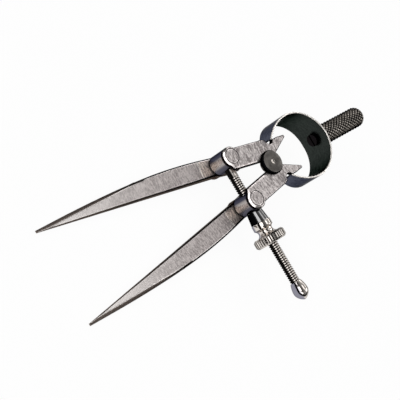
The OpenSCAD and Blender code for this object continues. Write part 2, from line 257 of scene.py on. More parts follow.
def cut(piece, place, way, **settings):
    """Cuts all the faces of a piece along a plane. Without settings its form stays."""
    edit(piece)
    bpy.ops.mesh.bisect(plane_co=place, plane_no=way, **settings)
    bpy.ops.object.mode_set(mode="OBJECT")


def close_up():
    """Merges doubles and turns the faces of the piece in edit mode outwards."""
    bpy.ops.mesh.select_all(action="SELECT")
    bpy.ops.mesh.remove_doubles(threshold=MERGE)
    bpy.ops.mesh.normals_make_consistent(inside=False)
    bpy.ops.object.mode_set(mode="OBJECT")


def turned(name, start, axis, profile, steps):
    """Turns a profile of (along, radius) points, in metres from start, about an axis."""
    axis = Vector(axis)
    out = Vector((1, 0, 0)) if axis.z else Vector((0, 0, 1))
    points = [start + axis * along + out * radius for along, radius in profile]
    piece = first_point(name, points[0])
    draw_line(points)
    bpy.ops.mesh.spin(steps=steps, angle=2 * math.pi, center=start, axis=axis)
    close_up()
    return piece


def apply_modifier(piece, kind, **settings):
    """Adds a modifier with its settings and applies it."""
    hold(piece)
    modifier = piece.modifiers.new(kind.title(), kind)
    for key, value in settings.items():
        setattr(modifier, key, value)
    bpy.ops.object.modifier_apply(modifier=modifier.name)


def soften(piece, width, segments=3, angle=30):
    """Rounds the sharp edges of a piece."""
    apply_modifier(
        piece, "BEVEL", width=width, segments=segments, limit_method="ANGLE",
        angle_limit=math.radians(angle), use_clamp_overlap=False)


def shade(piece, angle=32):
    """Smooth shading that keeps sharp edges crisp and flat faces flat."""
    hold(piece)
    bpy.ops.object.shade_smooth_by_angle(angle=math.radians(angle))
    apply_modifier(piece, "WEIGHTED_NORMAL", keep_sharp=True)


def copy_solid(node, name):
    """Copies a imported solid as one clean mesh, its triangles joined to flat faces."""
    piece = bpy.data.objects.new(name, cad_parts[node].data.copy())
    piece.data.name = name
    bpy.context.scene.collection.objects.link(piece)
    edit(piece)
    bpy.ops.mesh.remove_doubles(threshold=MERGE)
    bpy.ops.mesh.dissolve_limited(angle_limit=math.radians(0.5))
    bpy.ops.object.mode_set(mode="OBJECT")
    bpy.ops.mesh.customdata_custom_splitnormals_clear()
    return piece


def seat(piece, body, slot, finishes, *nodes):
    """Gives a piece its finishes and its body, in place of the solids. The slot is not used."""
    piece.data.materials.clear()
    for finish in finishes:
        piece.data.materials.append(finish)
    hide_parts(*nodes)
    if body:
        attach(piece, body)


def arc(centre, radius, start, end, count):
    """Points (along, radius) on an arc of a profile, angles in degrees from the axis."""
    turns = [math.radians(start + (end - start) * i / count) for i in range(count + 1)]
    return [(centre[0] + radius * math.cos(t), centre[1] + radius * math.sin(t)) for t in turns]


def low_side(arm, level):
    """Share of painted shade on a point of a piece turned about X, darker on its underside: none
    above a level, a share of the radius over its axis, and all from a fifth of the radius below
    that level."""
    return clamp((level - arm.z / math.hypot(arm.y, arm.z)) / 0.2)


# Finishes


def add(tree, kind, settings=None, links=None):
    """Adds a node: settings go to its sockets or properties, links join sockets to sources."""
    made = tree.nodes.new(kind)
    for key, value in (settings or {}).items():
        if isinstance(key, int) or key in made.inputs:
            made.inputs[key].default_value = value
        else:
            setattr(made, key, value)
    for socket, source in (links or {}).items():
        tree.links.new(source, made.inputs[socket])
    return made


def blank(name):
    """An empty material with its node tree."""
    material = bpy.data.materials.new(name)
    material.use_nodes = True
    material.node_tree.nodes.clear()
    return material, material.node_tree


def noise(tree, where, spacing, detail):
    """Noise over a piece's own coordinates, its spacing in mm."""
    return add(tree, "ShaderNodeTexNoise", {"Scale": 1 / (spacing * MM), "Detail": detail},
               {"Vector": where.outputs["Object"]}).outputs["Fac"]


def spread(tree, value, limits, levels):
    """Maps a value's two limits to two levels."""
    return add(tree, "ShaderNodeMapRange", {
        "From Min": limits[0], "From Max": limits[1], "To Min": levels[0], "To Max": levels[1]},
        {"Value": value}).outputs["Result"]


def mix(tree, share, first, second):
    """Mixes two colours by a share of the second."""
    return add(tree, "ShaderNodeMix", {"data_type": "RGBA", 6: first, 7: second},
               {0: share}).outputs[2]


def coated(material, settings, links):
    """Ends a material with one shader for its surface."""
    tree = material.node_tree
    shader = add(tree, "ShaderNodeBsdfPrincipled", settings, links)
    add(tree, "ShaderNodeOutputMaterial", links={"Surface": shader.outputs["BSDF"]})
    return material


def metal_finish(name, base, dark, grain, share, rough, bump,
                 place=(0, 0, 0), turn=0.0, rim=1.0, painted_light_and_shade=None):
    """Metal with a fine grain: grain gives the spacing in mm along X, Y and Z, share how much
    of the dark colour shows, rough the two limits of roughness, bump the depth in mm and rim
    how much the metal brightens where it is seen edge on. The given painted colour, or else
    the grime-and-shade colour, covers the metal where the piece has its mask attribute, which
    paints light into the colour on some pieces and shade on others."""
    material, tree = blank(name)
    where = add(tree, "ShaderNodeTexCoord")
    lines = add(tree, "ShaderNodeMapping", {
        "vector_type": "TEXTURE", "Location": place, "Rotation": (0, 0, turn),
        "Scale": [g * MM for g in grain]}, {"Vector": where.outputs["Object"]})
    grit = add(tree, "ShaderNodeTexNoise", {"Scale": 1.0, "Detail": 3.0, "Roughness": 0.6},
               {"Vector": lines.outputs["Vector"]})
    specks = noise(tree, where, 0.6, 4.0)
    cloud = noise(tree, where, 9, 2.0)
    both = add(tree, "ShaderNodeMath", {"operation": "MULTIPLY_ADD", 1: 0.5},
               {0: specks, 2: grit.outputs["Fac"]})
    all_three = add(tree, "ShaderNodeMath", {"operation": "MULTIPLY_ADD", 1: 0.3},
                    {0: cloud, 2: both.outputs["Value"]})
    amount = spread(tree, all_three.outputs["Value"], (0.78, 1.02), (share, 0.0))
    clean = mix(tree, amount, base, dark)
    # mask of painted light and shade, set per piece
    painted_mask = add(tree, "ShaderNodeAttribute", {"attribute_name": "painted_light_and_shade"})
    tint = add(tree, "ShaderNodeMix", {"data_type": "RGBA", 7: painted_light_and_shade or colours().grime_and_shade},
               {0: painted_mask.outputs["Fac"], 6: clean})
    gloss = spread(tree, grit.outputs["Fac"], (0.3, 0.7), rough)
    relief = add(tree, "ShaderNodeBump", {"Strength": 0.5, "Distance": bump * MM},
                 {"Height": grit.outputs["Fac"]})
    return coated(material, {"Metallic": 1.0, "Specular Tint": (rim, rim, rim, 1.0)}, {
        "Base Color": tint.outputs[2], "Roughness": gloss, "Normal": relief.outputs["Normal"]})


def ground_steel(name, turn, base, painted_light_and_shade=None, rough=(0.28, 0.4)):
    """Hardened steel ground crosswise: satin, with short marks across the leg, so flat faces
    look a speckled warm grey. The marks are drawn coarser than real ones, so that they show."""
    return metal_finish(name, base, colours().leg_dark, (1.8, 0.42, 0.42),
                        0.95, rough, 0.003, turn=turn, painted_light_and_shade=painted_light_and_shade)


def burnished_edge(name):
    """Rims of boss and pin and front edges of the leg, rubbed bright: a thin white line."""
    return metal_finish(name, colours().leg_steel, colours().leg_dark, (1, 1, 1),
                        0.15, (0.18, 0.28), 0.001, painted_light_and_shade=colours().leg_tip_light)


def dark_steel(name, turn, base):
    """The legs' sides, painted dark as shade: matt brown to black with faint lines, and browner
    towards the points as painted light.
    """
    return metal_finish(name, base, colours().grime_and_shade, (0.4, 14, 0.4),
                        0.5, (0.32, 0.5), 0.01, turn=turn, rim=0.15,
                        painted_light_and_shade=colours().brown_side_tip_light)


def barrel_steel(name, place):
    """Turned steel painted slate on its sides as shade, and bright in a band on the side that
    faces down the leg as a painted reflection of the leg.
    """
    return metal_finish(name, colours().swivel_steel, colours().leg_dark, (6, 6, 0.25),
                        0.25, (0.2, 0.32), 0.002, place=place, rim=0.3,
                        painted_light_and_shade=colours().barrel_side_shade)


def bright_steel(name, place, rough, painted_light_and_shade):
    """Nickel-plated steel with soft turning lines round it: a mirror where it is polished,
    softer where a thread or a grip is cut, and darker below with painted shade."""
    return metal_finish(name, colours().bright_steel, colours().leg_dark, (0.25, 6, 6),
                        0.25, rough, 0.003, place=place, rim=0.5, painted_light_and_shade=painted_light_and_shade)


def blued_steel(name, tone):
    """Spring steel blued by heat: slate blue and half matt, with rolling marks along it."""
    return metal_finish(name, tone, colours().black_oxide, (2, 2, 0.3),
                        0.45, (0.26, 0.4), 0.006, rim=0.35)


def strip_edge(name):
    """Pale ground edges of the bow, whose colour also paints their highlight, and the painted
    highlight line at the leg's seat: a pale clean line.
    """
    return metal_finish(name, colours().strip_edge, colours().leg_dark, (1.5, 1.5, 0.5),
                        0.3, (0.22, 0.34), 0.004)


def turned_gunmetal(name, place):
    """Darkened steel with the rings that a lathe tool leaves round the centre."""
    material, tree = blank(name)
    where = add(tree, "ShaderNodeTexCoord")
    centred = add(tree, "ShaderNodeMapping", {"vector_type": "TEXTURE", "Location": place},
                  {"Vector": where.outputs["Object"]})
    # the rings are drawn 0.35 mm apart, coarser than a real tool mark, so that they show
    rings = add(tree, "ShaderNodeTexWave", {
        "wave_type": "RINGS", "rings_direction": "Z", "Scale": WAVE_RUN / (0.35 * MM),
        "Distortion": 0.6, "Detail": 1.0}, {"Vector": centred.outputs["Vector"]})
    amount = spread(tree, noise(tree, where, 2.5, 4.0), (0.35, 0.65), (0.55, 0.0))
    tint = mix(tree, amount, colours().gunmetal, colours().black_oxide)
    relief = add(tree, "ShaderNodeBump", {"Strength": 0.4, "Distance": 0.01 * MM},
                 {"Height": rings.outputs["Fac"]})
    return coated(material, {"Metallic": 1.0, "Roughness": 0.32},
                  {"Base Color": tint, "Normal": relief.outputs["Normal"]})


def black_oxide(name, rough):
    """Chemically blacked steel: deep black with a thin oily gloss, and crests that fingers
    have worn back to grey where the piece has the crest attribute."""
    material, tree = blank(name)
    where = add(tree, "ShaderNodeTexCoord")
    crest = add(tree, "ShaderNodeAttribute", {"attribute_name": "crest"})
    patch = spread(tree, noise(tree, where, 3, 3.0), (0.35, 0.6), (0.5, 1.0))
    worn = add(tree, "ShaderNodeMath", {"operation": "MULTIPLY"},
               {0: crest.outputs["Fac"], 1: patch})
    tint = mix(tree, worn.outputs["Value"], colours().black_oxide, colours().worn)
    gloss = spread(tree, noise(tree, where, 0.2, 2.0), (0.3, 0.7), (rough, 1.5 * rough))
    return coated(material, {"Metallic": 1.0, "Specular Tint": (0.2, 0.2, 0.2, 1.0)},
                  {"Base Color": tint, "Roughness": gloss})


def black_enamel(name):
    """Stoved black enamel: wet-looking, with crisp light lines and a few dull specks of dust."""
    material, tree = blank(name)
    where = add(tree, "ShaderNodeTexCoord")
    dust = noise(tree, where, 0.6, 3.0)
    tint = mix(tree, dust, colours().black_oxide, colours().grime_and_shade)
    gloss = spread(tree, dust, (0.35, 0.75), (0.12, 0.3))
    return coated(material, {"Coat Weight": 1.0, "Coat Roughness": 0.05, "Coat IOR": 2.6},
                  {"Base Color": tint, "Roughness": gloss})


# Pieces


class DIVIDERS_OT_legs(bpy.types.Operator):
    """Two cranked legs: their solids with rounded edges in ground steel"""

    bl_idname = "dividers.legs"
    bl_label = "Legs"

    def execute(self, context):
        for side, sign in SIDES.items():
            node = side + "_leg"
            piece = copy_solid(node, node + "_forging")
            low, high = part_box(node)
            pin_low, pin_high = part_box(side + "_front_pin")
            pin_radius = (pin_high.x - pin_low.x) / 2
            self.round_edges(piece, low, high, (pin_low + pin_high) / 2, pin_radius)
            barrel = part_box(side + "_swivel")
            pivot = (barrel[0] + barrel[1]) / 2
            turn = sign * LEAN
            along = Vector((math.sin(turn), -math.cos(turn), 0))
            reach = (barrel[1].x - barrel[0].x) / 2 + sizes().seat_run
            # the two cuts bound a painted highlight line on the flat at the seat's end
            for run in (reach, reach + sizes().seat_line):
                cut(piece, pivot + along * run, along)
            # painted light that brightens the leg towards its point
            self.paint_tip_light(piece, low, pivot)
            shade(piece)
            # in the order ARM, SIDE_SHADE, EDGE, SEAT, LEG, BROWN_SIDE, SEAT_HIGHLIGHT
            seat(piece, node, "leg_steel", [
                ground_steel(side + " ground arm", turn, colours().leg_steel),
                dark_steel(side + " painted side shade", turn, colours().leg_side),
                burnished_edge(side + " burnished edge"),
                # warm tone, painted pale against the shade of barrel and arm
                ground_steel(side + " pale seat", turn, colours().leg_seat,
                             rough=(0.42, 0.55)),
                ground_steel(side + " ground leg", turn, colours().leg_shade,
                             colours().leg_tip_light),
                dark_steel(side + " upright side tone", turn, colours().brown_side_tip_light),
                strip_edge(side + " painted seat highlight")], node)
            for face in piece.data.polygons:
                arm = face.center - pivot
                face.material_index = self.finish_of(
                    face, high, arm.dot(along) - reach, arm.to_2d().length / pin_radius)
        return {"FINISHED"}

    def finish_of(self, face, high, past_seat, pins_away):
        """Finish of a face, from its slope, how far past the seat it lies and how many pin
        radii it is away from the pin."""
        rise = face.normal.z
        # sides, bevels and the bore round the pin take the dark finish, which is painted shade
        if face.center.z > high.z - ARM_DEPTH:
            if pins_away > BOSS_REACH:
                return SIDE_SHADE if abs(rise) < ARM_SIDE else ARM
            if PIN_GROOVE < pins_away and BOSS_SIDE < rise < LEVEL:
                return EDGE
            in_groove = pins_away < PIN_GROOVE and rise < LEVEL
            return SIDE_SHADE if in_groove or abs(rise) < BOSS_SIDE else ARM
        if abs(rise) < LEG_SIDE:
            return BROWN_SIDE if abs(rise) < LEG_UPRIGHT else SIDE_SHADE
        if rise > 0 and 0 < past_seat < sizes().seat_line:
            return SEAT_HIGHLIGHT
        if 0 < rise < LEG_LEVEL:
            return EDGE
        return SEAT if past_seat < 0 else LEG

    def paint_tip_light(self, piece, low, pivot):
        """Marks the painted light that brightens a leg towards its point: none in its upper third,
        full at the point.
        """
        painted_light_and_shade = piece.data.attributes.new("painted_light_and_shade", "FLOAT", "POINT")
        begin = pivot.y + (low.y - pivot.y) / 3
        for vertex in piece.data.vertices:
            share = (begin - vertex.co.y) / (begin - low.y)
            painted_light_and_shade.data[vertex.index].value = clamp(share)

    def round_edges(self, piece, low, high, pin, pin_radius):
        """Chamfers the boss, then gives each sharp edge its own rounding by its place."""
        size = sizes()
        # cuts across the taper let its roundings shrink in steps towards the point
        for step in range(1, 10):
            cut(piece, (0, low.y + size.tip_taper * step / 8, 0), (0, 1, 0))
        # edges nearer to the pin than this belong to its bore
        bore = pin_radius + 0.3 * MM

        def on_boss(middle):
            return bore < (middle - pin).to_2d().length < BOSS_REACH * pin_radius

        def chamfer(middle):
            if middle.z < high.z - LEVEL_SLACK or not on_boss(middle):
                return 0.0
            arm = (middle - pin).to_2d()
            # full on the side of the boss that faces down the leg
            away = clamp(0.5 - 1.4 * arm.y / arm.length)
            return size.arm_edge + away * (size.boss_edge - size.arm_edge)

        def rounding(middle):
            if (middle - pin).to_2d().length < bore:
                return PIN_EDGE
            if middle.z > high.z - size.boss_edge - LEVEL_SLACK and on_boss(middle):
                return BREAK
            if middle.z > high.z - LEVEL_SLACK:
                return size.arm_edge
            share = max(0.15, clamp((middle.y - low.y) / size.tip_taper))
            # the lower leg's front edges lie from 1 mm above its back up to its thickness
            front = low.z + 1 * MM < middle.z < low.z + 5 * MM
            return share * (size.leg_edge if front else size.back_edge)

        self.bevel(piece, size.boss_edge, 1, chamfer)
        self.bevel(piece, size.leg_edge, 6, rounding)
        # a rounding can push a vertex a little past the blunt point, so all stay in the box
        for vertex in piece.data.vertices:
            for axis in range(3):
                vertex.co[axis] = min(max(vertex.co[axis], low[axis]), high[axis])

    def bevel(self, piece, widest, segments, width_at):
        """Bevels each sharp edge by the width that width_at gives for its middle."""
        hold(piece)
        bpy.ops.object.mode_set(mode="EDIT")
        bpy.ops.mesh.select_mode(type="EDGE")
        bpy.ops.mesh.select_all(action="DESELECT")
        bpy.ops.mesh.edges_select_sharp(sharpness=math.radians(24))
        bpy.ops.object.mode_set(mode="OBJECT")
        mesh = piece.data
        weights = mesh.attributes.new("bevel_weight_edge", "FLOAT", "EDGE")
        for edge in mesh.edges:
            if edge.select:
                ends = [mesh.vertices[i].co for i in edge.vertices]
                weights.data[edge.index].value = width_at((ends[0] + ends[1]) / 2) / widest
        apply_modifier(piece, "BEVEL", width=widest, segments=segments, limit_method="WEIGHT",
                       use_clamp_overlap=False)
        mesh.attributes.remove(mesh.attributes["bevel_weight_edge"])


class DIVIDERS_OT_bow(bpy.types.Operator):
    """Bow spring: two strips that run from the handle round to the arms"""

    bl_idname = "dividers.bow"
    bl_label = "Bow spring"

    def execute(self, context):
        size = sizes()
        low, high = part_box("bow_spring")
        middle = (low + high) / 2
        outer = (high.x - low.x) / 2
        centre = Vector((0, high.y - outer, middle.z))
        line_radius = outer - size.strip / 2
        end = math.acos((low.y - centre.y) / outer)
        finishes = [blued_steel("blued spring steel", colours().blued),
                    blued_steel("blued inner face in painted shade", colours().blued_inside_shade),
                    strip_edge("ground strip edge")]
        for side, sign in SIDES.items():
            rise = (high.z - low.z) / 2
            # the strip starts a little past the crown and is cut there after its rounding
            past = math.radians(3)
            crown = centre + line_radius * Vector((-sign * math.sin(past), math.cos(past), 0))
            points = [crown + Vector((0, 0, rise * (i / 3 - 1))) for i in range(7)]
            piece = first_point(side + "_bow_strip", points[0])
            draw_line(points)
            bpy.ops.mesh.spin(steps=74, angle=end + past, center=centre, axis=(0, 0, sign))
            close_up()
            for vertex in piece.data.vertices:
                arm = vertex.co - centre
                turn = abs(math.atan2(arm.x, arm.y)) / end
                vertex.co.z = centre.z + arm.z * self.width(turn)
            apply_modifier(piece, "SOLIDIFY", thickness=size.strip, offset=0.0)
            soften(piece, size.strip_edge, 3)
            cut(piece, (0, 0, 0), (-sign, 0, 0), use_fill=True, clear_outer=True)
            shade(piece, 40)
            seat(piece, None, "blued_spring", finishes, "bow_spring")
            # the strip's edges face up or down, its sides out or in; the inner side is painted
            # darker as shade
            for face in piece.data.polygons:
                inner = face.normal.dot(centre - face.center) > 0
                face.material_index = 2 if abs(face.normal.z) > 0.4 else int(inner)
            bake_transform(piece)
        return {"FINISHED"}

    def width(self, turn):
        """Width of the strip as a share of its width at the handle: it narrows ever faster."""
        return 1 - 0.27 * turn - 0.263 * turn ** 4


class DIVIDERS_OT_stud(bpy.types.Operator):
    """Fulcrum stud: a turned spool with a chamfered flange and a centre mark"""

    bl_idname = "dividers.stud"
    bl_label = "Fulcrum stud"

    def execute(self, context):
        size = sizes()
        low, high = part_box("fulcrum_stud")
        start = Vector((0, 0, low.z))
        tall = high.z - low.z
        wide = (high.x - low.x) / 2
        front = tall - size.flange
        profile = [
            (0, 0), (0, size.back_radius - 0.2 * MM), (0.2 * MM, size.back_radius),
            (size.back_thick, size.back_radius), (size.back_thick, size.shank_radius),
            (front, size.shank_radius), (front, wide), (tall - size.flange_edge, wide),
            (tall, wide - size.flange_edge), (tall, size.mark_radius + 0.12 * MM),
            (tall - 0.08 * MM, size.mark_radius), (tall - size.mark_depth, 0)]
        piece = turned("fulcrum_spool", start, (0, 0, 1), profile, 128)
        soften(piece, 0.07 * MM, 2)
        shade(piece)
        seat(piece, "bow", "stud_steel", [
            turned_gunmetal("turned gunmetal", start), black_oxide("blacked rim", 0.35),
            bright_steel("bright centre mark", start, (0.1, 0.2), None)], "fulcrum_stud")
        for face in piece.data.polygons:
            out = face.center.to_2d().length
            # the flange's side and chamfer take the blacked rim, whose black also paints the shade
            # outline round the flange
            rim = out > wide - size.flange_edge - 0.02 * MM and abs(face.normal.z) < 0.95
            mark = out < size.mark_radius + 0.15 * MM and 0 < face.normal.z < 0.95
            face.material_index = 2 if mark else int(rim)
        return {"FINISHED"}


class DIVIDERS_OT_handle(bpy.types.Operator):
    """Handle with a diamond knurl, and the slotted screw that holds it"""

    bl_idname = "dividers.handle"
    bl_label = "Handle"

    def execute(self, context):
        self.knurled_bar()
        screw = copy_solid("handle_screw", "slotted_screw")
        soften(screw, 0.15 * MM, 2)
        shade(screw)
        seat(screw, "bow", "stud_steel",
             [dark_steel("darkened screw", 0.0, colours().leg_side)], "handle_screw")
        return {"FINISHED"}

    def knurled_bar(self):
        size = sizes()
        low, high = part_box("handle")
        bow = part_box("bow_spring")[1]
        middle = (low + high) / 2
        radius = (high.x - low.x) / 2
        start = Vector((0, low.y, middle.z))
        base = bow.y - low.y + size.foot_height
        tall = high.y - low.y
        bend = tall - size.handle_round
        step = size.knurl_run / 8
        rows = int((bend - base) / step)
        profile = [(0.02 * MM, 0), (0.02 * MM, size.foot_radius), (base, size.foot_radius)]
        profile += [(base + (bend - base) * i / rows, radius) for i in range(rows + 1)]
        profile += arc((bend, radius - size.handle_round), size.handle_round, 90, 0, 9)[1:]
        profile += [(tall, 0)]
        piece = turned("knurled_handle", start, (0, 1, 0), profile, size.knurl_count * 8)
        crest = piece.data.attributes.new("crest", "FLOAT", "POINT")
        for vertex in piece.data.vertices:
            arm = vertex.co - start
            out = math.hypot(arm.x, arm.z)
            if arm.y < base - NEAR or out < 0.3 * radius:
                continue
            round_share = math.atan2(arm.x, arm.z) / (2 * math.pi) * size.knurl_count
            along_share = arm.y / size.knurl_run
            rise = min(self.ridge(round_share + along_share),
                       self.ridge(round_share - along_share))
            # the knurl fades out over 0.4 mm at the foot and 1.2 mm at the end
            ends = clamp(min((arm.y - base) / (0.4 * MM), (tall - arm.y) / (1.2 * MM)))
            drop = size.knurl_depth * (1 - rise) * ends
            vertex.co.x -= arm.x / out * drop
            vertex.co.z -= arm.z / out * drop
            # fingers rub the front and the back of the knurl, and hardly touch its sides
            rub = clamp(4 * abs(arm.z) / out - 1.8)
            crest.data[vertex.index].value = rub * max(0.0, 2 * rise - 1)
        shade(piece, 20)
        seat(piece, "bow", "black_oxide", [black_oxide("blacked knurl", 0.3)], "handle")

    def ridge(self, share):
        """Height of one set of knurl ridges: 1 on a ridge and 0 in a groove."""
        return min(1.0, 1.8 * abs(2 * (share % 1.0) - 1))


class DIVIDERS_OT_screw(bpy.types.Operator):
    """Adjusting screw with its thread, finial and anchor pin"""

    bl_idname = "dividers.screw"
    bl_label = "Adjusting screw"

    def execute(self, context):
        size = sizes()
        low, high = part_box("adjusting_screw")
        middle = (low + high) / 2
        radius = (high.z - low.z) / 2
        start = Vector((0, middle.y, middle.z))
        finish = bright_steel("cut screw steel", start, (0.24, 0.36), None)
        begin = low.x + size.shank_length
        plain = turned("screw_shank", start, (1, 0, 0), [
            (low.x, 0), (low.x, radius), (begin, radius),
            (begin + size.thread_depth, radius - size.thread_depth),
            (begin + size.thread_depth, 0)], ROUND_STEPS)
        soften(plain, BREAK, 2)
        # painted shade on the shank's underside
        self.painted_shade(plain, start, radius, 0.9)
        shade(plain)
        seat(plain, "screw", "bright_steel", [finish], "adjusting_screw")
        thread = self.thread(start, radius, begin, high.x)
        seat(thread, "screw", "bright_steel", [finish], "adjusting_screw")
        pin = copy_solid("screw_anchor_pin", "anchor_pin")
        soften(pin, BREAK, 2)
        shade(pin)
        seat(pin, "screw", "bright_steel", [finish], "screw_anchor_pin")
        self.finial(start)
        return {"FINISHED"}

    def painted_shade(self, piece, start, radius, level):
        """Marks painted shade on what lies below a level, and in the roots deeper than the given
        radius.
        """
        painted_light_and_shade = piece.data.attributes.new("painted_light_and_shade", "FLOAT", "POINT")
        for vertex in piece.data.vertices:
            arm = vertex.co - start
            out = math.hypot(arm.y, arm.z)
            if out > NEAR:
                deep = 1.3 * (radius - out) / sizes().thread_depth
                painted_light_and_shade.data[vertex.index].value = min(1.0, max(deep, low_side(arm, level)))

    def thread(self, start, radius, begin, end):
        """One pitch of the thread's flank, screwed along the axis and cut square at both ends."""
        size = sizes()
        pitch, root = size.pitch, radius - size.thread_depth
        # (share of the pitch, radius) of one thread: root, rising flank, crest, falling flank
        flank = [(0, root), (0.06, root), (0.28, radius), (0.72, radius), (0.94, root), (1, root)]
        first = begin - pitch
        points = [start + Vector((first + along * pitch, 0, out)) for along, out in flank]
        piece = first_point("screw_thread", points[0])
        draw_line(points)
        bpy.ops.object.mode_set(mode="OBJECT")
        bpy.ops.object.origin_set(type="ORIGIN_CURSOR")
        turns = math.ceil((end - begin) / pitch) + 2
        hold(piece)
        piece.data.transform(Matrix.Translation(-start))
        apply_modifier(piece, "SCREW", axis="X", angle=2 * math.pi, steps=28, render_steps=28,
                       screw_offset=pitch, iterations=turns, use_merge_vertices=False)
        piece.data.transform(Matrix.Translation(start))
        edit(piece)
        bpy.ops.mesh.remove_doubles(threshold=MERGE)
        for where, way in ((begin, -1), (end, 1)):
            bpy.ops.mesh.select_all(action="SELECT")
            bpy.ops.mesh.bisect(plane_co=(where, 0, 0), plane_no=(way, 0, 0),
                                use_fill=True, clear_outer=True)
        close_up()
        # painted shade on the thread's underside and in its roots
        self.painted_shade(piece, start, radius, 0.68)
        shade(piece, 25)
        return piece

    def finial(self, start):
        """Acorn: a narrow lip where the thread goes in, full sides and an egg-shaped end."""
        low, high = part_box("screw_finial")
        wide = (high.z - low.z) / 2
        tall = high.x - low.x
        half, count = tall / 2, 16
        quarter = [math.pi / 2 * i / count for i in range(count + 1)]
        profile = [(0, 0)]
        profile += [(half * i / count, wide * (0.74 + 0.26 * math.sin(quarter[i])))
                    for i in range(count)]
        profile += [(half + half * math.sin(turn), wide * math.cos(turn) ** 1.5)
                    for turn in quarter[:-1]]
        profile += [(tall, 0)]
        piece = turned("screw_acorn", start + Vector((low.x, 0, 0)), (1, 0, 0), profile,
                       ROUND_STEPS)
        soften(piece, 0.15 * MM, 3)
        # painted shade on the finial's underside
        painted_light_and_shade = piece.data.attributes.new("painted_light_and_shade", "FLOAT", "POINT")
        for vertex in piece.data.vertices:
            arm = vertex.co - start
            if math.hypot(arm.y, arm.z) > NEAR:
                painted_light_and_shade.data[vertex.index].value = low_side(arm, 0.8)
        shade(piece, 50)
        seat(piece, "screw", "bright_steel",
             [bright_steel("polished finial", start, (0.04, 0.1), colours().painted_shade)], "screw_finial")


class DIVIDERS_OT_swivels(bpy.types.Operator):
    """Swivel barrels, painted with slate shade and a reflection, and their ground trunnion pins"""

    bl_idname = "dividers.swivels"
    bl_label = "Swivels"

    def execute(self, context):
        bodies = {"left": "screw", "right": "right_swivel"}
        names = {"swivel": "barrel", "front_pin": "front_trunnion", "back_pin": "back_trunnion"}
        for side, body in bodies.items():
            low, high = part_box(side + "_swivel")
            middle = (low + high) / 2
            foot_level = low.z + sizes().foot_shadow_height
            painted_shade_sheen = barrel_steel(side + " oxided barrel", middle)
            # painted shadow line round the barrel's foot
            foot = black_oxide(side + " oily foot", 0.5)
            flush = ground_steel(side + " ground pin", 0.0, colours().leg_steel)
            rim = burnished_edge(side + " burnished pin rim")
            for end, name in names.items():
                node = side + "_" + end
                piece = copy_solid(node, side + "_" + name)
                barrel = end == "swivel"
                soften(piece, 0.3 * MM if barrel else PIN_EDGE, 2)
                if barrel:
                    cut(piece, (0, 0, foot_level), (0, 0, 1))
                    # paints slate shade and a reflection band into the barrel's colour
                    self.oxide(piece, middle)
                shade(piece)
                finishes = [painted_shade_sheen, foot] if barrel else [flush, rim]
                seat(piece, body, "swivel_steel", finishes, node)
                for face in piece.data.polygons:
                    at_foot = face.center.z < foot_level
                    on_rim = 0.1 < abs(face.normal.z) < LEVEL
                    face.material_index = int(at_foot if barrel else on_rim)
        return {"FINISHED"}

    def oxide(self, piece, middle):
        """Marks all of a barrel for painted slate shade but the band that faces down the leg,
        which shows bright steel as a painted reflection of the leg.
        """
        painted_light_and_shade = piece.data.attributes.new("painted_light_and_shade", "FLOAT", "POINT")
        for vertex in piece.data.vertices:
            arm = (vertex.co - middle).to_2d()
            bare = -arm.y / max(arm.length, NEAR)
            # painted shade: the side towards +X is shaded a little less
            full = 1.0 if arm.x < 0 else 0.92
            painted_light_and_shade.data[vertex.index].value = full * clamp((0.98 - bare) / 0.1)


